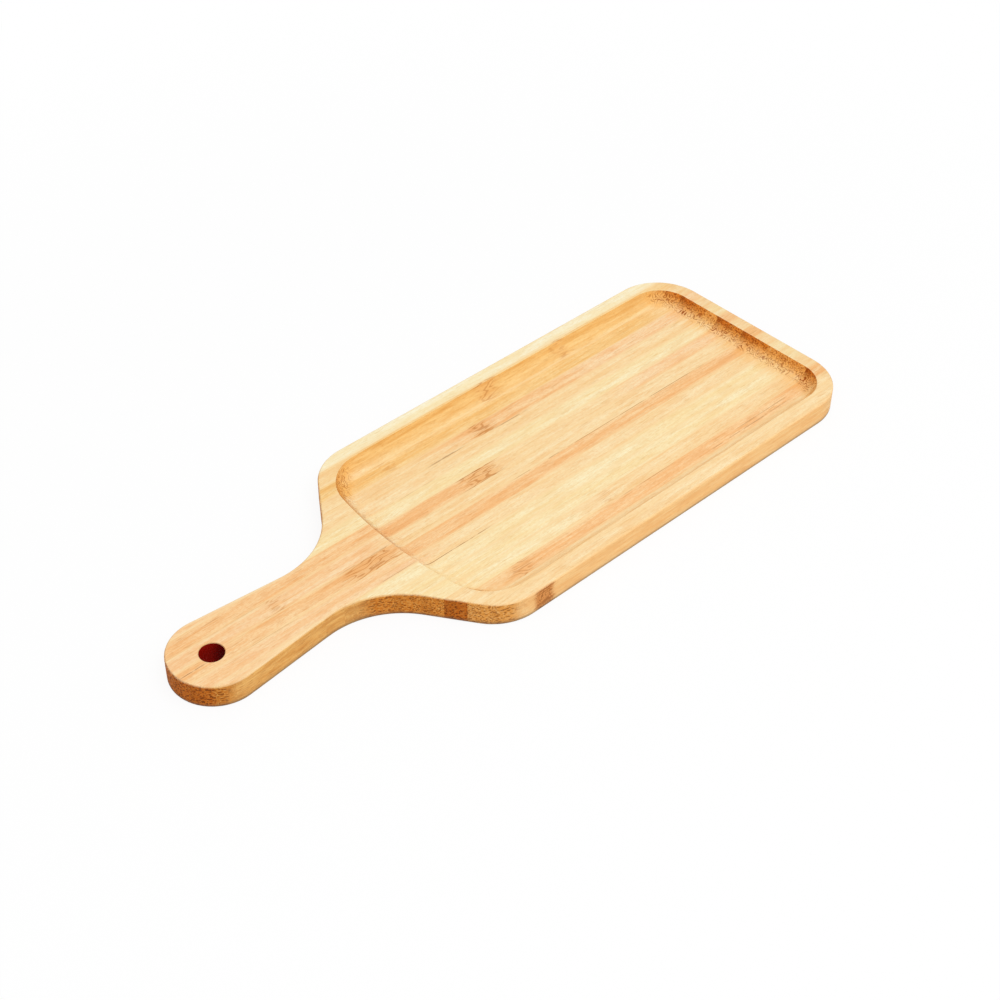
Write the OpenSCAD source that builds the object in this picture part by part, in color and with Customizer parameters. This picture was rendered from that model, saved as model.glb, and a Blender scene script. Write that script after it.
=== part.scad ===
// Paddle serving board: bamboo staves glued edge to edge and shaped as one board,
// with a round-ended handle, a coved tray and a hanging hole.
// Plan sizes run along the board from the handle's tip, and outwards from the centre seam.

/* [Board] */
// Length from the handle's tip to the far end
board_l = 383; // [370:1:420]
// Width of the serving body
board_w = 140; // [130:1:160]
// Thickness of the board
board_t = 12.7; // [10:0.1:16]
// Radius of the two far corners
corner_r = 27.4; // [22:0.1:34]
// How far the eased outer edges reach onto each face
edge_ease = 0.8; // [0.3:0.1:1.2]

/* [Handle] */
// Radius of the handle's round tip
tip_r = 22.2; // [20.5:0.1:25]
// Angle at which each side of the grip closes in towards the neck
taper_deg = 5.3; // [3:0.1:7]
// Length of each straight side of the grip
grip_l = 48; // [40:1:56]
// Radius of the hollow neck
neck_r = 44.4; // [38:0.1:50]
// Angle between the shoulder's flank and the board's length
flank_deg = 55; // [50:1:60]
// Radius of the rounded shoulder
shoulder_r = 28.4; // [22:0.1:34]

/* [Hanging hole] */
// Distance from the handle's tip to the hole's centre
hole_set = 20.6; // [18:0.1:26]
// Diameter of the hole
hole_d = 11.8; // [8:0.1:16]
// Bevel around both mouths of the hole
hole_bevel = 0.3; // [0.2:0.1:1]

/* [Tray] */
// Depth of the tray
tray_depth = 6.5; // [4:0.1:8]
// Radius of the coved wall
cove_r = 10; // [8:0.5:14]
// Width of the rim along each long side
side_rim = 9; // [7:0.5:12]
// Width of the rim at the far end
end_rim = 8.2; // [7:0.1:14]
// Distance from the handle's tip to the tray's near end
tray_set = 125.2; // [118:0.1:140]
// Radius of the tray's far corners
tray_far_r = 18; // [16:0.5:26]
// Radius of the tray's near corners
tray_near_r = 25; // [18:0.5:32]
// How far the middle of the tray's near end bows out past its corners
tray_bow = 3; // [1.5:0.1:5]

/* [Staves] */
// Width of each stave; the two edge staves take what is left of the board's width
stave_w = 8.9; // [8.2:0.1:9.2]

/* [Hidden] */
$fn = 96;
// How far each cut runs past the face that it opens
overrun = 1;
// How far a straight stretch stops short of the point where it blends into a round one
blend_step = 0.5;
// How far one stretch of the eased edges stops short of such a point, and the next one runs past it
ease_step = 0.6;
ease_lap = 0.8;
// An edge stave narrower than this share of a stave stays part of its neighbour
edge_stave_share = 0.25;
// The stave that the neck cuts in two, which leaves a slim piece of it beside the handle's tip
cut_stave = 3;

// Shades of the staves from the centre seam outwards
pale = "#F2DBA4";
honey = "#EBC78C";
amber = "#E3AE76";
left_shades = [pale, amber, pale, pale, honey, honey, amber, pale];
right_shades = [amber, honey, pale, pale, honey, amber, pale, honey];

// Outline of the left half, from the tip round to the far end
half_w = board_w / 2;
staves_a_side = ceil(half_w / stave_w - edge_stave_share);
tip_c = [tip_r, 0];
grip_dir = [cos(taper_deg), -sin(taper_deg)];
grip_out = [sin(taper_deg), cos(taper_deg)];
grip_a = tip_c + tip_r * grip_out;
grip_b = grip_a + grip_l * grip_dir;
neck_c = grip_b + neck_r * grip_out;
flank_dir = [cos(flank_deg), sin(flank_deg)];
flank_out = [-sin(flank_deg), cos(flank_deg)];
flank_a = neck_c - neck_r * flank_out;
flank_l = (half_w - shoulder_r + shoulder_r * flank_out.y - flank_a.y) / flank_dir.y;
flank_b = flank_a + flank_l * flank_dir;
shoulder_c = flank_b - shoulder_r * flank_out;
corner_c = [board_l - corner_r, half_w - corner_r];

// Arc of the eased edges: its centre lies deeper than the easing reaches,
// so that it meets the faces at a slight angle
edge_in_share = 1.25;
edge_in = edge_in_share * edge_ease;
edge_r = norm([edge_in, edge_in - edge_ease]);

// Plan of the tray's left half
tray_floor = board_t - tray_depth;
tray_half_w = half_w - side_rim;
tray_end = board_l - end_rim;
// Width of the cove, from the rim to where it runs out on the floor
cove_run = sqrt(tray_depth * (2 * cove_r - tray_depth));
far_c = [tray_end - tray_far_r, tray_half_w - tray_far_r];
near_c = [tray_set + tray_bow + tray_near_r, tray_half_w - tray_near_r];
// Bow of the near end: it passes through the end's middle and blends into both near corners
tray_bow_r = (pow(near_c.x - tray_set, 2) + pow(near_c.y, 2) - pow(tray_near_r, 2)) / (2 * tray_bow);
bow_c = [tray_set + tray_bow_r, 0];
// A point beyond the rim on the line where the bow blends into a corner
blend_p = bow_c + 2 * (near_c - bow_c);

// Angle that a short arc subtends at a radius
function arc_deg(arc, r) = arc / r * 180 / PI;

// Sweeps a profile (outwards, up) along a straight stretch of an outline
module along_line(from, heading, length)
    translate(from)
        rotate([90, 0, 90 + heading])
            linear_extrude(length)
                children();

// Sweeps a profile (outwards, up) along a round stretch of an outline
module along_arc(centre, r, from_deg, to_deg)
    translate(centre)
        rotate_extrude(start = from_deg, angle = to_deg - from_deg)
            translate([r, 0])
                children();

module half_blank()
    difference() {
        union() {
            linear_extrude(board_t)
                polygon([
                    tip_c,
                    grip_a + blend_step * grip_dir,
                    grip_b - blend_step * grip_dir,
                    neck_c,
                    flank_a + blend_step * flank_dir,
                    flank_b - blend_step * flank_dir,
                    shoulder_c,
                    [shoulder_c.x + blend_step, half_w],
                    [corner_c.x - blend_step, half_w],
                    corner_c,
                    [board_l, corner_c.y - blend_step],
                    [board_l, 0]
                ]);
            translate(tip_c)
                cylinder(r = tip_r, h = board_t);
            translate(shoulder_c)
                cylinder(r = shoulder_r, h = board_t);
            translate(corner_c)
                cylinder(r = corner_r, h = board_t);
        }
        translate([neck_c.x, neck_c.y, -overrun])
            cylinder(r = neck_r, h = board_t + 2 * overrun);
    }

// What easing takes off the top edge: all outside an arc that meets both faces at edge_ease
module edge_profile()
    translate([-edge_in, board_t - edge_in])
        difference() {
            square(edge_in + overrun);
            circle(edge_r);
        }

module top_edge_cut() {
    tip_step = arc_deg(ease_step, tip_r);
    neck_lap = arc_deg(ease_lap, neck_r);
    shoulder_step = arc_deg(ease_step, shoulder_r);
    corner_step = arc_deg(ease_step, corner_r);
    along_arc(tip_c, tip_r, 90 - taper_deg + tip_step, 180 + tip_step)
        edge_profile();
    along_line(grip_a - ease_lap * grip_dir, -taper_deg, grip_l + ease_lap - ease_step)
        edge_profile();
    along_arc(neck_c, neck_r, 270 - taper_deg - neck_lap, 270 + flank_deg + neck_lap)
        mirror([1, 0])
            edge_profile();
    along_line(flank_a + ease_step * flank_dir, flank_deg, flank_l - ease_step + ease_lap)
        edge_profile();
    along_arc(shoulder_c, shoulder_r, 90 + shoulder_step, 90 + flank_deg - shoulder_step)
        edge_profile();
    along_line([shoulder_c.x - ease_lap, half_w], 0, corner_c.x - shoulder_c.x + 2 * ease_lap)
        edge_profile();
    along_arc(corner_c, corner_r, corner_step, 90 - corner_step)
        edge_profile();
    along_line([board_l, corner_c.y + ease_lap], -90, corner_c.y + ease_lap + overrun)
        edge_profile();
}

module edge_cut() {
    top_edge_cut();
    translate([0, 0, board_t])
        mirror([0, 0, 1])
            top_edge_cut();
}

// Section of the tray beside its rim: a flat floor that a cove carries up and out to the rim
module tray_profile(reach) {
    translate([-reach, tray_floor])
        square([reach - cove_run, tray_depth + overrun]);
    translate([-cove_run, tray_floor])
        intersection() {
            translate([0, cove_r])
                circle(cove_r);
            square([2 * cove_run, tray_depth + overrun]);
        }
}

// The middle of the tray, which reaches a little past the centres of its corners
module tray_middle()
    translate([0, 0, tray_floor])
        linear_extrude(tray_depth + overrun)
            polygon([
                [near_c.x - 2 * overrun, -overrun],
                near_c + 2 * overrun * [-1, 1],
                far_c + 2 * overrun * [1, 1],
                [far_c.x + 2 * overrun, -overrun]
            ]);

// The tray's near end: a bowed wall and a round corner, which meet on the line through both their centres
module tray_near_end() {
    intersection() {
        along_arc(bow_c, tray_bow_r, 90, 270)
            tray_profile(tray_bow + tray_near_r);
        linear_extrude(board_t + overrun)
            polygon([bow_c, blend_p, [blend_p.x, -overrun], [bow_c.x, -overrun]]);
    }
    along_arc(near_c, tray_near_r, 90, 180)
        tray_profile(tray_near_r - overrun);
}

module tray_side()
    intersection() {
        along_line([0, tray_half_w], 0, board_l)
            tray_profile(tray_near_r - overrun);
        linear_extrude(board_t + overrun)
            polygon([[near_c.x, 0], [far_c.x, 0], [far_c.x, board_w], [near_c.x, board_w]]);
    }

module tray_cut() {
    tray_middle();
    tray_near_end();
    tray_side();
    along_arc(far_c, tray_far_r, 0, 90)
        tray_profile(tray_far_r - overrun);
    along_line([tray_end, far_c.y], -90, far_c.y + overrun)
        tray_profile(tray_far_r - overrun);
}

module hole_cut() {
    hole_r = hole_d / 2;
    mouth_r = hole_r + hole_bevel + overrun;
    mouth_h = hole_bevel + overrun;
    translate([hole_set, 0, -overrun])
        cylinder(r = hole_r, h = board_t + 2 * overrun);
    translate([hole_set, 0, board_t - hole_bevel])
        cylinder(r1 = hole_r, r2 = mouth_r, h = mouth_h);
    translate([hole_set, 0, -overrun])
        cylinder(r1 = mouth_r, r2 = hole_r, h = mouth_h);
}

// The stretch of the left half between two distances along the board, in the width of one stave
module strip(i, from_x, to_x) {
    inner_y = (i - 1) * stave_w;
    outer_y = i < staves_a_side ? i * stave_w : half_w + overrun;
    translate([-board_l / 2, 0, 0])
        difference() {
            intersection() {
                half_blank();
                translate([from_x, inner_y, -overrun])
                    cube([to_x - from_x, outer_y - inner_y, board_t + 2 * overrun]);
            }
            edge_cut();
            tray_cut();
            if (i == 1)
                hole_cut();
        }
}

module stave(i)
    strip(i, i == cut_stave ? neck_c.x : -overrun, board_l + overrun);

module tip_stave()
    strip(cut_stave, -overrun, neck_c.x);

module left_stave(i)
    color(left_shades[(i - 1) % len(left_shades)])
        stave(i);

module right_stave(i)
    color(right_shades[(i - 1) % len(right_shades)])
        mirror([0, 1, 0])
            stave(i);

module left_tip_stave()
    color(left_shades[cut_stave - 1])
        tip_stave();

module right_tip_stave()
    color(right_shades[cut_stave - 1])
        mirror([0, 1, 0])
            tip_stave();

for (i = [1 : staves_a_side]) {
    left_stave(i);
    right_stave(i);
}
left_tip_stave();
right_tip_stave();
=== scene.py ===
import bpy
from mathutils import Matrix, Vector

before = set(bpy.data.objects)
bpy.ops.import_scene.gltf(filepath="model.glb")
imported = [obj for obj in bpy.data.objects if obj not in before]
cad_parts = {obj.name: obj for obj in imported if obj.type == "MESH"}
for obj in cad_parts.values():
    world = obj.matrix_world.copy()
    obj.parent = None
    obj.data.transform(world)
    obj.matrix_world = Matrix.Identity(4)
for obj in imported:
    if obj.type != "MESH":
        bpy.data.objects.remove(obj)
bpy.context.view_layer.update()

# Sizes of the board in millimetres, along the board from the handle's tip and outwards from the centre seam
BOARD_L = 383.0
BOARD_T = 12.7
EDGE_EASE = 0.8
STAVE_W = 8.9
TIP_R = 22.2
GRIP_SLOPE = 0.0928
HOLE_SET = 20.6
HOLE_R = 5.9
TRAY_FROM = 125.2
TRAY_TO = 374.8
TRAY_HALF_W = 61.0
MM_PER_M = 1000.0

# Camera at the photograph's view: place in metres, axes, and the lens for a 36 mm sensor
CAMERA_PLACE = (-0.47481, -0.50054, 0.60563)
CAMERA_RIGHT = (0.72802, -0.68551, 0.00855)
CAMERA_UP = (0.44749, 0.48461, 0.75160)
CAMERA_BACK = (-0.51937, -0.54335, 0.65956)
CAMERA_LENS = 67.12
CAMERA_SENSOR = 36.0

# Studio light: level of the sky, and a soft key lamp above the near long side
WHITE = (1.0, 1.0, 1.0, 1.0)
SKY_LEVEL = 0.65
KEY_PLACE = (0.05, -0.66, 1.58)
KEY_SIZE = 1.4
KEY_WATTS = 13.4

# Floor: side in metres, grey, and how white the camera sees it by the board and, past these distances, far off
FLOOR_SIDE = 12.0
FLOOR_GREY = (0.96, 0.96, 0.96, 1.0)
FLOOR_FAR = (0.20, 0.60)
FLOOR_WHITE_BY_BOARD = 0.90
FLOOR_WHITE_GAIN = 0.10

# Fibre patterns: length along the grain and width across it in millimetres, detail and roughness of the noise
PATTERNS = {
    "broad": (110.0, 5.0, 2.0, 0.5),
    "mottle": (18.0, 3.6, 3.0, 0.6),
    "drift": (38.0, 2.2, 4.0, 0.6),
    "blotch": (10.0, 2.0, 3.0, 0.6),
    "strands": (16.0, 0.7, 3.0, 0.6),
    "hairs": (9.0, 0.42, 2.0, 0.5),
    "grit": (1.5, 0.8, 2.0, 0.5),
    "pores": (3.2, 0.36, 2.0, 0.5),
    "bends": (3.0, 1.6, 2.0, 0.5),
    "speckle": (9.0, 0.60, 2.0, 0.6),
    "squiggles": (5.0, 3.4, 1.0, 0.5),
    "arcs": (17.0, 3.4, 1.0, 0.5),
}
# Steps of the seed through the patterns, so that each stave has its own part of them
SEED_STEP = (7.3, 3.1, 5.7)
# Levels of a pattern at which pores and looped lines set in and at which they are full
PORE_LEVELS = (0.56, 0.66)
LOOP_LEVELS = (0.24, 0.40)
# Cut fibres: their bends and the size of their cells in millimetres, and the edge of a dot within its cell
BEND_REACH = 2.4
DOT_CELL = (60.0, 1.05)
DOT_EDGE = (0.52, 0.26)
# Looped lines: turns through the levels of a pattern, and millimetres between the rows of squiggles
SQUIGGLE_TURNS = 6.0
SQUIGGLE_ROWS = 1.9
ARC_TURNS = 7.0

# Tones along the grain
TONES = {
    "ivory": {"pale": "#FFF8DA", "tone": "#FEEEC2", "streak": "#FADEA6", "pore": "#E4BE7C"},
    "straw": {"pale": "#FFF2C8", "tone": "#FDE4AC", "streak": "#F6CE90", "pore": "#E0B46C"},
    "cream": {"pale": "#FFEBBE", "tone": "#FCDAA2", "streak": "#F6C486", "pore": "#DCA864"},
    "apricot": {"pale": "#FFE4B8", "tone": "#FCCE96", "streak": "#F5B478", "pore": "#D79E5C"},
    "peach": {"pale": "#FFDCA8", "tone": "#FBC487", "streak": "#F0AC6A", "pore": "#D09252"},
    "honeyed": {"pale": "#FFE4AA", "tone": "#FCD28E", "streak": "#F4BC72", "pore": "#D6A056"},
    "tan": {"pale": "#FFDEA0", "tone": "#FAC87E", "streak": "#EFB466", "pore": "#D0964C"},
}
# Tones of the long sides
SIDES = {
    "amber": {"pale": "#FDD08E", "tone": "#F9C27C", "streak": "#ECAA64", "pore": "#E8A664"},
    "gold": {"pale": "#F0B864", "tone": "#E0A04C", "streak": "#C48036", "pore": "#A8662A"},
    "honey": {"pale": "#FBCB7E", "tone": "#F2B866", "streak": "#E2A250", "pore": "#DC9A4A"},
}
# Tones of the end grain, and how much it darkens towards the culm's skin
ENDS = {
    "wheat": {"pale": "#EAA450", "tone": "#D88E3C", "fleck": "#F5C47C", "dot": "#985620", "skin": 0.10},
    "blond": {"pale": "#FBD294", "tone": "#F6C27C", "fleck": "#FDE0AE", "dot": "#D89A50", "skin": 0.05},
    "brown": {"pale": "#DA8C36", "tone": "#C87424", "fleck": "#EEB462", "dot": "#864410", "skin": 0.20},
    "russet": {"pale": "#C66E1E", "tone": "#AE5612", "fleck": "#D0863A", "dot": "#622C0A", "skin": 0.15},
    "gold": {"pale": "#F4AA50", "tone": "#E8923A", "fleck": "#FBCA80", "dot": "#A85412", "skin": 0.15},
    "copper": {"pale": "#E89034", "tone": "#D67820", "fleck": "#F6B462", "dot": "#96440C", "skin": 0.25},
    "rust": {"pale": "#D87820", "tone": "#C26014", "fleck": "#EEA450", "dot": "#823A08", "skin": 0.50},
}

# In the tables below a pair is the two values between which something sets in, or a gain and a base.
# Sizes are in millimetres, and facing is a part of the surface's normal.

# Grain along the fibres: shares of the two patterns of its ground, then its streaks, hairs and pores
LONG_GRAIN = {
    "drift": 0.6, "broad": 0.4, "ground": (0.38, 0.62),
    "streaks": (("mottle", (0.46, 0.66), 0.40), ("strands", (0.48, 0.66), 0.34), ("grit", (0.40, 0.64), 0.30)),
    "hairs": (0.57, 0.64), "patches": (0.42, 0.60), "hair_share": 0.40, "pore_share": 0.22,
}
TONE_CHANGE = {"ragged": 60.0, "soft": 22.0}
SEAM = {"tint": TONES["cream"]["tone"], "ragged": 5.0, "reach": (1.8, -0.4), "share": 0.55}

# Grain of the long sides and of the coves along them
SIDE_GRAIN = {
    "facing": (0.10, 0.92), "share": 0.9, "ground": (0.38, 0.64),
    "streaks": (("mottle", (0.46, 0.66), 0.40), ("strands", (0.50, 0.68), 0.45), ("hairs", (0.54, 0.68), 0.35)),
    "pore_share": 0.40,
}

# Grain across the fibres: its marks, where the tones of the inner and far ends lie, and how it sets in
END_GRAIN = {
    "skin": (0.4, 1.0), "ground": (0.40, 0.64), "flecks": (0.52, 0.62), "fleck_share": 0.70, "dot_share": 0.80,
    "inner": (STAVE_W * 1.8, STAVE_W * 2.2), "far": (BOARD_L * 0.6, BOARD_L * 0.7),
    "upright": (0.3, 0.1), "upright_gain": 0.80, "ragged": 0.4, "levels": (0.32, 0.84),
}
# The tray's bowed near end, whose end grain is fainter towards the right
BOW = {
    "facing": (0.0, 0.2), "along": (BOARD_L * 0.5, BOARD_L * 0.4), "across": (STAVE_W * 5.2, STAVE_W * 4.2),
    "right": (STAVE_W, STAVE_W * -3.0), "faint": (0.45, 0.10),
}
# The tray's coves: a warm tint on their slopes and, by the far end, at their foot, and squiggled lines
FRAYED = {
    "tint": "#FDB858", "line": "#A04C0C",
    "facing": (0.15, 0.30), "below_rim": (BOARD_T - 0.6, BOARD_T - 1.4),
    "by_far_end": (TRAY_TO - 16.0, TRAY_TO - 7.0), "ragged": 16.0, "foot": (0.30, 0.02), "foot_share": 0.28,
    "slope": (0.02, 0.30), "slope_end": (0.86, 0.70), "slope_share": 0.38,
    "lines": (0.08, 0.40), "lines_end": (0.98, 0.74), "carved": (0.75, 0.25),
    "patches": (0.36, 0.56), "uneven": (0.45, 0.30), "dense": 0.75,
}
# Joints of the culm that show on all faces, or on the board's side only
KNOTS = {
    "all": {"tint": "#EFAA62", "arc": "#C07632", "share": 0.35, "ragged": 18.0, "soft": 4.0},
    "side": {"tint": "#DA8A42", "arc": "#8A4612", "share": 0.75, "ragged": 8.0, "soft": 2.0},
}
KNOT_FACING = (0.5, 0.9)
KNOT_MARKS = 0.60
# Dark lines
LINE = {"colour": "#8E501E", "edge": (0.32, 0.08), "wander": 0.5, "breaks": (0.34, 0.52), "fade": 6.0}
# Painted highlight on the eased edges, outside the tray
EDGE_HIGHLIGHT = {
    "colour": "#FEE6B8", "sides": (TRAY_HALF_W + 0.5, TRAY_HALF_W + 1.0),
    "near": (TRAY_FROM - 0.5, TRAY_FROM - 1.0), "far": (TRAY_TO + 0.5, TRAY_TO + 1.0),
    "height": (BOARD_T - EDGE_EASE - 0.2, BOARD_T - EDGE_EASE + 0.2), "facing": (0.35, 0.90), "soft": 0.08,
    "patches": (0.40, 0.60), "uneven": (0.20, 0.08),
}
# Painted highlight along the top of the grip's sides
GRIP_HIGHLIGHT = {
    "inside": (2.4, 0.8), "along": (20.0, 76.0), "soft": 10.0, "facing": (0.45, 0.75), "uneven": (0.6, 0.25),
}
# Rim beyond the tray
TANNED = {
    "colour": "#E2A864", "along": (TRAY_TO - 1.0, TRAY_TO + 1.5), "facing": (0.5, 0.9), "uneven": (0.18, 0.04),
}
# Painted shade at the foot of the long sides, and darker painted shade along the rim under them
FOOT_SHADE = {
    "foot": "#94866E", "foot_height": (5.0, 1.5), "foot_facing": (0.7, 1.0), "uneven": (0.12, 0.06),
    "rim": "#6E6250", "rim_height": (2.6, 0.8), "rim_facing": (0.5, 0.2), "rim_share": 0.60,
}
# Wall of the hanging hole: dark red, partly its burn and partly painted shade, darkest on the side towards the
# tray as painted shade
BORE_BURN_AND_SHADE = {
    "pale": "#A81608", "deep": "#680201", "wall": (HOLE_R + 0.35, HOLE_R + 0.15), "facing": (0.5, 0.2),
    "ragged": 4.0, "deepens": (-2.0, 9.0),
}
# Surface: roughness, then heights of hairs and pits in the bump
SURFACE = {
    "rough": (0.18, 0.44), "hairs": 0.6, "pits": -0.7, "bump": 0.25, "bump_metres": 0.00012,
    "ior": 1.45, "specular": 0.05,
}


def stave(tones, side, ends, knuckles=(), lines=()):
    """Look of one stave: stretches (tone, from), side, ends (near, far, near beside the centre seam),
    knuckles (from, to, depth, face) and lines (from, to, across, depth), in millimetres."""
    return {"tones": tones, "side": side, "ends": ends, "knuckles": knuckles, "lines": lines}


STAVES = {
    "left_stave_1": stave(
        [("apricot", 0), ("cream", 125)], "gold", ("russet", "copper", "russet"),
        [(56, 64, 0.6, "all")], [(50, 66, 0.2, 0.3), (95, 124, 0.2, 0.4), (25, 55, 8.8, 0.3)]),
    "left_stave_2": stave(
        [("peach", 0), ("cream", 205), ("apricot", 300)], "gold", ("brown", "rust", "brown"),
        [(186, 204, 1.0, "all")], [(181, 206, 9.2, 0.5), (183, 206, 17.5, 0.5), (18, 35, 15.5, 0.3)]),
    "left_stave_3": stave(
        [("straw", 0)], "gold", ("brown", "gold", "brown"),
        [], [(155, 173, 26.5, 0.4)]),
    "left_stave_4": stave(
        [("cream", 0)], "gold", ("wheat", "copper", "wheat"),
        [], [(181, 201, 35.3, 0.7), (225, 246, 35.3, 0.6)]),
    "left_stave_5": stave(
        [("cream", 0), ("peach", 208), ("apricot", 280)], "gold", ("brown", "rust", "brown"),
        [(213, 226, 1.0, "all")], [(182, 200, 35.8, 0.5)]),
    "left_stave_6": stave(
        [("tan", 0), ("cream", 366)], "honey", ("wheat", "copper", "wheat"),
        [(162, 166, 0.5, "all")]),
    "left_stave_7": stave(
        [("cream", 0), ("honeyed", 150), ("cream", 372)], "honey", ("brown", "gold", "brown"),
        [(235, 246, 0.8, "all"), (291, 298, 0.6, "all")]),
    "left_stave_8": stave([("ivory", 0)], "amber", ("wheat", "gold", "wheat")),
    "right_stave_1": stave(
        [("peach", 0)], "gold", ("russet", "rust", "russet"),
        [(95, 122, 1.0, "all")], [(205, 340, -0.3, 0.5), (1, 15, -3.7, 0.7)]),
    "right_stave_2": stave(
        [("apricot", 0), ("cream", 130)], "gold", ("brown", "copper", "russet"),
        [], [(129, 170, -17.5, 0.7), (30, 60, -9.0, 0.3), (100, 124, -17.0, 0.4)]),
    "right_stave_3": stave([("straw", 0)], "gold", ("brown", "gold", "brown")),
    "right_stave_4": stave([("straw", 0)], "gold", ("brown", "gold", "brown")),
    "right_stave_5": stave(
        [("straw", 0), ("cream", 200)], "gold", ("brown", "gold", "brown"),
        [(225, 231, 0.4, "all")]),
    "right_stave_6": stave(
        [("cream", 0), ("peach", 152)], "gold", ("russet", "rust", "russet"),
        [(158, 168, 0.8, "all")], [(236, 269, -45.0, 0.4), (293, 352, -51.0, 0.5), (318, 354, -48.5, 0.4)]),
    "right_stave_7": stave([("cream", 0)], "amber", ("wheat", "gold", "wheat")),
    "right_stave_8": stave(
        [("cream", 0)], "amber", ("wheat", "blond", "wheat"),
        [(152, 163, 1.0, "side")]),
    "left_tip_stave": stave([("apricot", 0)], "gold", ("wheat", "gold", "wheat")),
    "right_tip_stave": stave([("apricot", 0)], "gold", ("brown", "gold", "brown")),
}
# The staves beside the centre seam, which the hanging hole goes through
BORED = ("left_stave_1", "right_stave_1")


def linear(hex_colour):
    """Linear RGBA of a written sRGB colour."""
    def channel(text):
        c = int(text, 16) / 255
        return c / 12.92 if c <= 0.04045 else ((c + 0.055) / 1.055) ** 2.4
    return tuple(channel(hex_colour[i:i + 2]) for i in (1, 3, 5)) + (1.0,)


class Graph:
    """Short ways to add and link the nodes of one material or world."""

    def __init__(self, owner):
        owner.use_nodes = True
        self.tree = owner.node_tree
        self.tree.nodes.clear()

    def put(self, socket, value):
        if isinstance(value, bpy.types.NodeSocket):
            self.tree.links.new(value, socket)
        else:
            socket.default_value = value

    def node(self, kind, inputs=(), **settings):
        made = self.tree.nodes.new(kind)
        for key, value in settings.items():
            setattr(made, key, value)
        for key, value in dict(inputs).items():
            self.put(made.inputs[key], value)
        return made

    def math(self, operation, a, b=0.0):
        return self.node("ShaderNodeMath", {0: a, 1: b}, operation=operation).outputs[0]

    def add(self, a, b):
        return self.math("ADD", a, b)

    def times(self, a, b):
        return self.math("MULTIPLY", a, b)

    def scaled(self, value, gain, base):
        return self.add(self.times(value, gain), base)

    def rest(self, value):
        """What is left to one."""
        return self.scaled(value, -1.0, 1.0)

    def swing(self, field, reach):
        """A field from zero to one, as a swing of half the reach to both sides."""
        return self.times(self.add(field, -0.5), reach)

    def size(self, a):
        return self.math("ABSOLUTE", a)

    def larger(self, a, b):
        return self.math("MAXIMUM", a, b)

    def parts(self, vector):
        return self.node("ShaderNodeSeparateXYZ", {0: vector}).outputs

    def rise(self, value, low, high):
        """Zero below low, smoothly up to one at high; falls instead where high is below low."""
        first, last = (0.0, 1.0) if low < high else (1.0, 0.0)
        return self.node("ShaderNodeMapRange", {
            "Value": value, "From Min": min(low, high), "From Max": max(low, high),
            "To Min": first, "To Max": last}, interpolation_type="SMOOTHSTEP").outputs[0]

    def band(self, value, low, high, soft):
        """One between low and high, fading to zero over soft on both sides."""
        above = self.rise(value, low - soft, low + soft)
        below = self.rise(value, high + soft, high - soft)
        return self.times(above, below)

    def mix(self, factor, a, b):
        return self.node("ShaderNodeMix", {0: factor, 6: a, 7: b}, data_type="RGBA").outputs[2]

    def tint(self, share, colour, hex_colour):
        """The colour with a share of a written one over it."""
        return self.mix(share, colour, linear(hex_colour))

    def noise(self, vector, detail, roughness):
        return self.node("ShaderNodeTexNoise", {
            "Vector": vector, "Scale": 1.0, "Detail": detail, "Roughness": roughness}).outputs[0]

    def cells(self, vector):
        return self.node("ShaderNodeTexVoronoi", {"Vector": vector, "Scale": 1.0}).outputs["Distance"]

    def stretch(self, vector, length, width, shift):
        """The vector in cells that lie along the grain, moved to its own part of the pattern."""
        return self.node("ShaderNodeMapping", {
            "Vector": vector, "Location": shift, "Scale": (1 / length, 1 / width, 1 / width)}).outputs[0]

    def sway(self, vector, field, reach):
        """The vector pushed across the grain to both sides by a field."""
        across = self.node("ShaderNodeCombineXYZ", {1: self.swing(field, reach)}).outputs[0]
        return self.node("ShaderNodeVectorMath", {0: vector, 1: across}, operation="ADD").outputs[0]


class Place:
    """Where a point lies on the board, in millimetres, and which way its surface faces."""

    def __init__(self, g):
        metres = g.node("ShaderNodeTexCoord").outputs["Object"]
        self.mm = g.node("ShaderNodeVectorMath", {0: metres, "Scale": MM_PER_M}, operation="SCALE").outputs[0]
        axes = g.parts(self.mm)
        self.along = g.add(axes[0], BOARD_L / 2)
        self.across = axes[1]
        self.height = axes[2]
        facing = g.parts(g.node("ShaderNodeNewGeometry").outputs["Normal"])
        self.endways = g.size(facing[0])
        self.forwards = facing[0]
        self.sideways = g.size(facing[1])
        self.upwards = facing[2]


class Fibres:
    """Patterns of one stave's fibres: streaks along the grain, dots across it, and looped lines."""

    def __init__(self, g, place, seed):
        shift = tuple(seed * step for step in SEED_STEP)

        def streaks(pattern, vector=place.mm):
            length, width, detail, roughness = PATTERNS[pattern]
            return g.noise(g.stretch(vector, length, width, shift), detail, roughness)

        def loops(field):
            """Thin lines along the levels of a field, closing into loops."""
            return g.rise(g.math("PINGPONG", field, 0.5), *LOOP_LEVELS)

        self.broad = streaks("broad")
        self.mottle = streaks("mottle")
        self.drift = streaks("drift")
        self.blotch = streaks("blotch")
        self.strands = streaks("strands")
        self.hairs = streaks("hairs")
        self.grit = streaks("grit")
        self.pores = g.rise(streaks("pores"), *PORE_LEVELS)
        bent = g.sway(place.mm, streaks("bends"), BEND_REACH)
        self.speckle = streaks("speckle", bent)
        self.dots = g.rise(g.cells(g.stretch(bent, *DOT_CELL, shift)), *DOT_EDGE)
        rows = g.times(place.along, 1 / SQUIGGLE_ROWS)
        self.squiggles = loops(g.add(g.times(streaks("squiggles"), SQUIGGLE_TURNS), rows))
        self.arcs = loops(g.times(streaks("arcs"), ARC_TURNS))


def add_streaks(g, fibres, colour, layers, streak):
    """Layers of streaks, each given by its pattern, levels and share."""
    for pattern, levels, share in layers:
        marks = g.rise(getattr(fibres, pattern), *levels)
        colour = g.tint(g.times(marks, share), colour, streak)
    return colour


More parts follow.
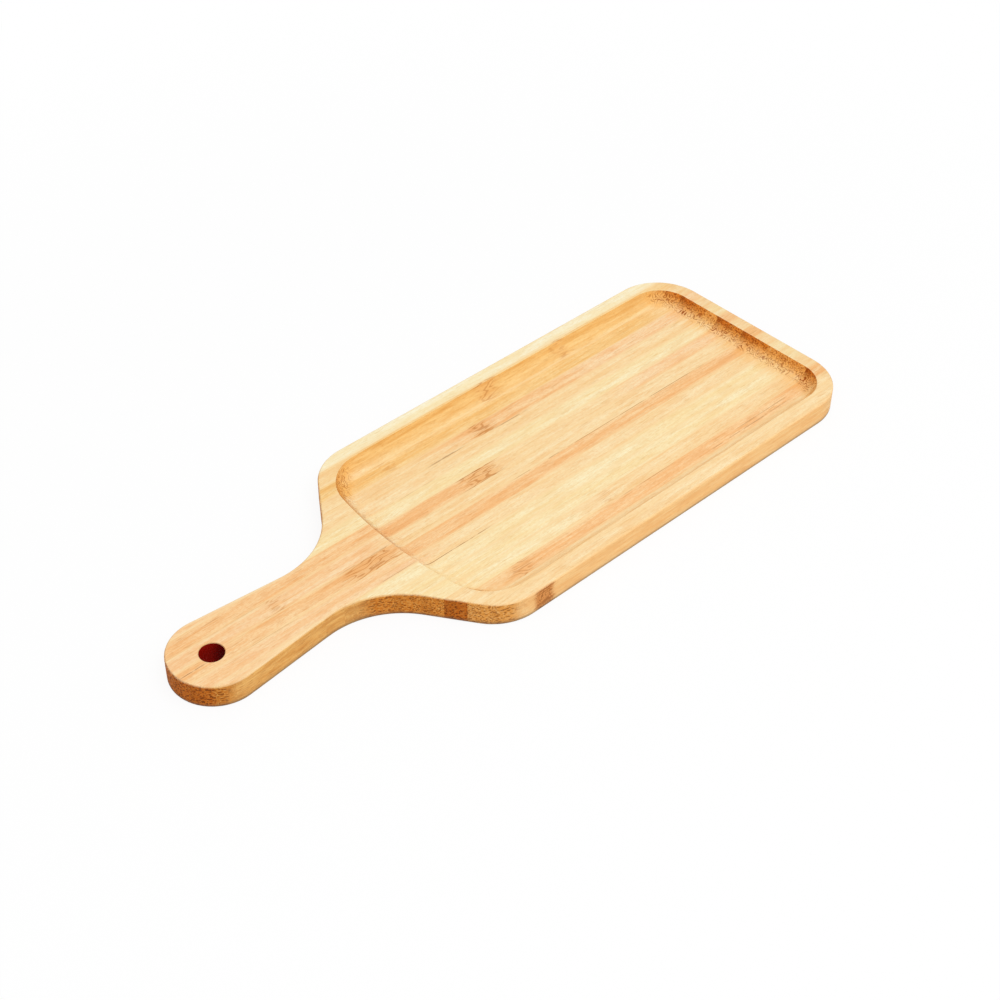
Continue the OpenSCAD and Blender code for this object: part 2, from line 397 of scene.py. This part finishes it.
def long_grain(g, fibres, tone):
    """Colour along the grain: a pale ground with broad drifts, fine streaks, sparse hairs and short pores."""
    grain = LONG_GRAIN
    ground = g.add(g.times(fibres.drift, grain["drift"]), g.times(fibres.broad, grain["broad"]))
    colour = g.mix(g.rise(ground, *grain["ground"]), linear(tone["pale"]), linear(tone["tone"]))
    colour = add_streaks(g, fibres, colour, grain["streaks"], tone["streak"])
    sparse = g.times(g.rise(fibres.hairs, *grain["hairs"]), g.rise(fibres.blotch, *grain["patches"]))
    colour = g.tint(g.times(sparse, grain["hair_share"]), colour, tone["pore"])
    return g.tint(g.times(fibres.pores, grain["pore_share"]), colour, tone["pore"])


def toned_length(g, place, fibres, stretches):
    """The long grain of a stave whose tone changes along its length."""
    colour = long_grain(g, fibres, TONES[stretches[0][0]])
    soft = TONE_CHANGE["soft"]
    for tone, start in stretches[1:]:
        ragged = g.add(place.along, g.swing(fibres.broad, TONE_CHANGE["ragged"]))
        reached = g.rise(ragged, start - soft, start + soft)
        colour = g.mix(reached, colour, long_grain(g, fibres, TONES[tone]))
    return colour


def soften_seams(g, place, fibres, colour):
    """Neighbouring staves run towards one common tone where they meet."""
    from_seam = g.math("PINGPONG", g.size(place.across), STAVE_W / 2)
    ragged = g.add(from_seam, g.swing(fibres.drift, SEAM["ragged"]))
    return g.tint(g.times(g.rise(ragged, *SEAM["reach"]), SEAM["share"]), colour, SEAM["tint"])


def side_grain(g, place, fibres, colour, side):
    """The grain of the long sides over the colour, where the surface faces sideways."""
    grain = SIDE_GRAIN
    sides = g.mix(g.rise(fibres.drift, *grain["ground"]), linear(side["pale"]), linear(side["tone"]))
    sides = add_streaks(g, fibres, sides, grain["streaks"], side["streak"])
    sides = g.tint(g.times(fibres.pores, grain["pore_share"]), sides, side["pore"])
    return g.mix(g.times(g.rise(place.sideways, *grain["facing"]), grain["share"]), colour, sides)


def end_grain(g, place, fibres, end):
    """Colour across the grain: dark dots of cut fibres and pale flecks, darker towards the culm's skin."""
    grain = END_GRAIN
    skin = g.rise(g.math("FRACT", g.times(place.across, 1 / STAVE_W)), *grain["skin"])
    colour = g.mix(g.rise(fibres.strands, *grain["ground"]), linear(end["pale"]), linear(end["tone"]))
    flecks = g.times(g.rise(fibres.speckle, *grain["flecks"]), grain["fleck_share"])
    colour = g.tint(flecks, colour, end["fleck"])
    colour = g.tint(g.times(skin, end["skin"]), colour, end["dot"])
    return g.tint(g.times(fibres.dots, grain["dot_share"]), colour, end["dot"])


def cut_ends(g, place, fibres, colour, names):
    """End grain where the surface turns across the fibres, with frayed coves; also the share of end grain."""
    grain = END_GRAIN
    near, far, inner = (end_grain(g, place, fibres, ENDS[name]) for name in names)
    near = g.mix(g.rise(g.size(place.across), *grain["inner"]), inner, near)
    ends = g.mix(g.rise(place.along, *grain["far"]), near, far)
    bow = g.times(g.rise(place.forwards, *BOW["facing"]), g.rise(place.along, *BOW["along"]))
    bow = g.times(bow, g.rise(g.size(place.across), *BOW["across"]))
    faint = g.scaled(g.rise(place.across, *BOW["right"]), *BOW["faint"])
    turned = g.times(place.endways, g.rest(g.times(bow, faint)))
    upright = g.rise(place.upwards, *grain["upright"])
    turned = g.add(turned, g.times(upright, g.times(place.endways, grain["upright_gain"])))
    share = g.rise(g.add(turned, g.swing(fibres.speckle, grain["ragged"])), *grain["levels"])
    colour = g.mix(share, colour, ends)
    dense = FRAYED["dense"] + ENDS[names[1]]["skin"]
    return fray_coves(g, place, fibres, colour, turned, bow, dense), share


def fray_coves(g, place, fibres, colour, turned, bow, dense):
    """Warm coves, with squiggles where they cut the fibres at a slant, as turned tells."""
    carved = g.times(g.rise(place.upwards, *FRAYED["facing"]), g.rise(place.height, *FRAYED["below_rim"]))
    carved = g.times(carved, g.rest(bow))
    ragged = g.add(place.along, g.swing(fibres.drift, FRAYED["ragged"]))
    foot = g.times(g.rise(place.endways, *FRAYED["foot"]), FRAYED["foot_share"])
    foot = g.times(g.rise(ragged, *FRAYED["by_far_end"]), foot)
    slope = g.times(g.rise(turned, *FRAYED["slope_end"]), FRAYED["slope_share"])
    slope = g.times(g.rise(place.endways, *FRAYED["slope"]), slope)
    colour = g.tint(g.times(carved, g.add(foot, slope)), colour, FRAYED["tint"])
    fraying = g.times(g.rise(turned, *FRAYED["lines"]), g.rise(turned, *FRAYED["lines_end"]))
    fraying = g.times(fraying, g.scaled(carved, *FRAYED["carved"]))
    uneven = g.scaled(g.rise(fibres.mottle, *FRAYED["patches"]), *FRAYED["uneven"])
    lines = g.times(g.times(fraying, fibres.squiggles), g.times(uneven, dense))
    return g.tint(lines, colour, FRAYED["line"])


def add_knuckle(g, place, fibres, colour, low, high, depth, face):
    """A stretch where the stave crosses a joint of the culm: a tinted patch with looped arcs, or mottled."""
    knot = KNOTS[face]
    ragged = g.add(place.along, g.swing(fibres.blotch, knot["ragged"]))
    patch = g.times(g.band(ragged, low, high, knot["soft"]), depth)
    marks = fibres.arcs
    if face == "side":
        patch = g.times(patch, g.rise(place.sideways, *KNOT_FACING))
        marks = g.larger(fibres.squiggles, fibres.dots)
    colour = g.tint(g.times(patch, knot["share"]), colour, knot["tint"])
    return g.tint(g.times(g.times(patch, marks), KNOT_MARKS), colour, knot["arc"])


def add_line(g, place, fibres, colour, low, high, across, depth):
    """A thin dark line along a seam or in a stave, broken here and there."""
    wander = g.add(place.across, g.swing(fibres.drift, LINE["wander"]))
    gap = g.size(g.add(wander, -across))
    broken = g.times(g.rise(fibres.blotch, *LINE["breaks"]), g.band(place.along, low, high, LINE["fade"]))
    mark = g.times(g.rise(gap, *LINE["edge"]), broken)
    return g.tint(g.times(mark, depth), colour, LINE["colour"])


def paint_edge_highlight(g, place, fibres, colour):
    """Painted highlight on the eased outer edges, paler than the faces."""
    ends = g.larger(g.rise(place.along, *EDGE_HIGHLIGHT["near"]), g.rise(place.along, *EDGE_HIGHLIGHT["far"]))
    outside = g.larger(g.rise(g.size(place.across), *EDGE_HIGHLIGHT["sides"]), ends)
    facing = g.band(place.upwards, *EDGE_HIGHLIGHT["facing"], EDGE_HIGHLIGHT["soft"])
    eased = g.times(g.rise(place.height, *EDGE_HIGHLIGHT["height"]), facing)
    uneven = g.scaled(g.rise(fibres.drift, *EDGE_HIGHLIGHT["patches"]), *EDGE_HIGHLIGHT["uneven"])
    return g.tint(g.times(g.times(outside, eased), uneven), colour, EDGE_HIGHLIGHT["colour"])


def paint_grip_highlight(g, place, fibres, colour):
    """Painted highlight on the top of the grip along its sides, paler than the faces."""
    lean = g.add(g.times(g.add(place.along, -TIP_R), GRIP_SLOPE), g.size(place.across))
    inside = g.scaled(lean, -1.0, TIP_R)
    grip_highlight = g.times(g.rise(inside, *GRIP_HIGHLIGHT["inside"]), g.band(place.along, *GRIP_HIGHLIGHT["along"], GRIP_HIGHLIGHT["soft"]))
    grip_highlight = g.times(grip_highlight, g.rise(place.upwards, *GRIP_HIGHLIGHT["facing"]))
    return g.tint(g.times(grip_highlight, g.scaled(fibres.drift, *GRIP_HIGHLIGHT["uneven"])), colour, EDGE_HIGHLIGHT["colour"])


def tan_rim(g, place, fibres, colour):
    """The rim beyond the tray, tanned a little."""
    rim = g.times(g.rise(place.along, *TANNED["along"]), g.rise(place.upwards, *TANNED["facing"]))
    return g.tint(g.times(rim, g.scaled(fibres.drift, *TANNED["uneven"])), colour, TANNED["colour"])


def paint_foot_shade(g, place, fibres, colour):
    """Painted shade: the foot of the long sides greyed darker, and a dark painted shade along the rim under the
    board.
    """
    foot = g.times(g.rise(place.height, *FOOT_SHADE["foot_height"]), g.rise(place.sideways, *FOOT_SHADE["foot_facing"]))
    colour = g.tint(g.times(foot, g.scaled(fibres.drift, *FOOT_SHADE["uneven"])), colour, FOOT_SHADE["foot"])
    rim = g.times(g.rise(place.height, *FOOT_SHADE["rim_height"]), g.rise(place.upwards, *FOOT_SHADE["rim_facing"]))
    return g.tint(g.times(rim, FOOT_SHADE["rim_share"]), colour, FOOT_SHADE["rim"])


def paint_bore_burn_and_shade(g, place, fibres, colour):
    """The wall of the hanging hole, dark red partly from the drill's burn and partly as painted shade, with
    painted shade darkening it most on the side towards the tray.
    """
    beyond = g.add(place.along, -HOLE_SET)
    from_axis = g.math("SQRT", g.add(g.math("POWER", beyond, 2.0), g.math("POWER", place.across, 2.0)))
    wall = g.times(g.rise(from_axis, *BORE_BURN_AND_SHADE["wall"]), g.rise(place.upwards, *BORE_BURN_AND_SHADE["facing"]))
    towards = g.add(beyond, g.times(place.across, -1.0))
    shaded_side = g.rise(g.add(towards, g.times(fibres.hairs, BORE_BURN_AND_SHADE["ragged"])), *BORE_BURN_AND_SHADE["deepens"])
    return g.mix(wall, colour, g.mix(shaded_side, linear(BORE_BURN_AND_SHADE["pale"]), linear(BORE_BURN_AND_SHADE["deep"])))


def bamboo(name, seed, look):
    """Bamboo of one stave."""
    material = bpy.data.materials.new("bamboo_" + name)
    g = Graph(material)
    place = Place(g)
    fibres = Fibres(g, place, seed)
    colour = soften_seams(g, place, fibres, toned_length(g, place, fibres, look["tones"]))
    colour = side_grain(g, place, fibres, colour, SIDES[look["side"]])
    for knuckle in look["knuckles"]:
        colour = add_knuckle(g, place, fibres, colour, *knuckle)
    colour, end_share = cut_ends(g, place, fibres, colour, look["ends"])
    for line in look["lines"]:
        colour = add_line(g, place, fibres, colour, *line)
    # In turn: a painted highlight on the eased edges, a painted highlight along the grip, a tan on the rim
    # beyond the tray, and painted shade at the foot
    for treat in (paint_edge_highlight, paint_grip_highlight, tan_rim, paint_foot_shade):
        colour = treat(g, place, fibres, colour)
    # Burnt red with painted shade on the wall of the hanging hole
    if name in BORED:
        colour = paint_bore_burn_and_shade(g, place, fibres, colour)

    pits = g.add(fibres.pores, g.times(fibres.dots, end_share))
    relief = g.add(g.times(fibres.hairs, SURFACE["hairs"]), g.times(pits, SURFACE["pits"]))
    bump = g.node("ShaderNodeBump", {
        "Height": relief, "Strength": SURFACE["bump"], "Distance": SURFACE["bump_metres"]})
    rough = g.scaled(fibres.strands, *SURFACE["rough"])
    shader = g.node("ShaderNodeBsdfPrincipled", {
        "Base Color": colour, "Roughness": rough, "Normal": bump.outputs[0],
        "IOR": SURFACE["ior"], "Specular IOR Level": SURFACE["specular"]})
    g.node("ShaderNodeOutputMaterial", {"Surface": shader.outputs[0]})
    return material


def dress_staves():
    """Each stave's own bamboo, in every slot of its node."""
    for seed, (name, look) in enumerate(STAVES.items(), 1):
        material = bamboo(name, seed, look)
        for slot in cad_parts[name].material_slots:
            slot.material = material


def place_camera():
    """The camera at the photograph's view."""
    data = bpy.data.cameras.new("camera")
    data.sensor_fit = "HORIZONTAL"
    data.sensor_width = CAMERA_SENSOR
    data.lens = CAMERA_LENS
    camera = bpy.data.objects.new("camera", data)
    axes = Matrix((CAMERA_RIGHT, CAMERA_UP, CAMERA_BACK)).transposed()
    camera.matrix_world = Matrix.Translation(CAMERA_PLACE) @ axes.to_4x4()
    bpy.context.scene.collection.objects.link(camera)
    bpy.context.scene.camera = camera


def lay_floor():
    """A plain pale floor, mostly white to the camera so that only the closest shadow shows."""
    bpy.ops.mesh.primitive_plane_add(size=FLOOR_SIDE, location=(0.0, 0.0, 0.0))
    floor = bpy.context.object
    floor.name = "floor"
    material = bpy.data.materials.new("floor_white")
    g = Graph(material)
    plain = g.node("ShaderNodeBsdfDiffuse", {"Color": FLOOR_GREY})
    white = g.node("ShaderNodeEmission", {"Color": WHITE, "Strength": 1.0})
    seen = g.node("ShaderNodeLightPath").outputs["Is Camera Ray"]
    metres = g.node("ShaderNodeTexCoord").outputs["Object"]
    far_off = g.node("ShaderNodeVectorMath", {0: metres}, operation="LENGTH").outputs["Value"]
    whiter = g.scaled(g.rise(far_off, *FLOOR_FAR), FLOOR_WHITE_GAIN, FLOOR_WHITE_BY_BOARD)
    blend = g.node("ShaderNodeMixShader", {
        0: g.times(seen, whiter), 1: plain.outputs[0], 2: white.outputs[0]})
    g.node("ShaderNodeOutputMaterial", {"Surface": blend.outputs[0]})
    floor.data.materials.append(material)


def light_studio():
    """A soft sky that the camera sees as white, and the key lamp."""
    world = bpy.data.worlds.new("studio")
    bpy.context.scene.world = world
    g = Graph(world)
    sky = g.node("ShaderNodeBackground", {"Color": WHITE, "Strength": SKY_LEVEL})
    white = g.node("ShaderNodeBackground", {"Color": WHITE, "Strength": 1.0})
    seen = g.node("ShaderNodeLightPath").outputs["Is Camera Ray"]
    blend = g.node("ShaderNodeMixShader", {0: seen, 1: sky.outputs[0], 2: white.outputs[0]})
    g.node("ShaderNodeOutputWorld", {"Surface": blend.outputs[0]})
    add_lamp("key", KEY_PLACE, KEY_SIZE, KEY_WATTS)


def add_lamp(name, place, size, watts):
    """A square lamp that looks at the middle of the board."""
    data = bpy.data.lights.new(name, "AREA")
    data.shape = "SQUARE"
    data.size = size
    data.energy = watts
    lamp = bpy.data.objects.new(name, data)
    turn = (-Vector(place)).to_track_quat("-Z", "Y").to_matrix().to_4x4()
    lamp.matrix_world = Matrix.Translation(place) @ turn
    bpy.context.scene.collection.objects.link(lamp)


place_camera()
dress_staves()
lay_floor()
light_studio()
bpy.context.scene.view_settings.view_transform = "Standard"
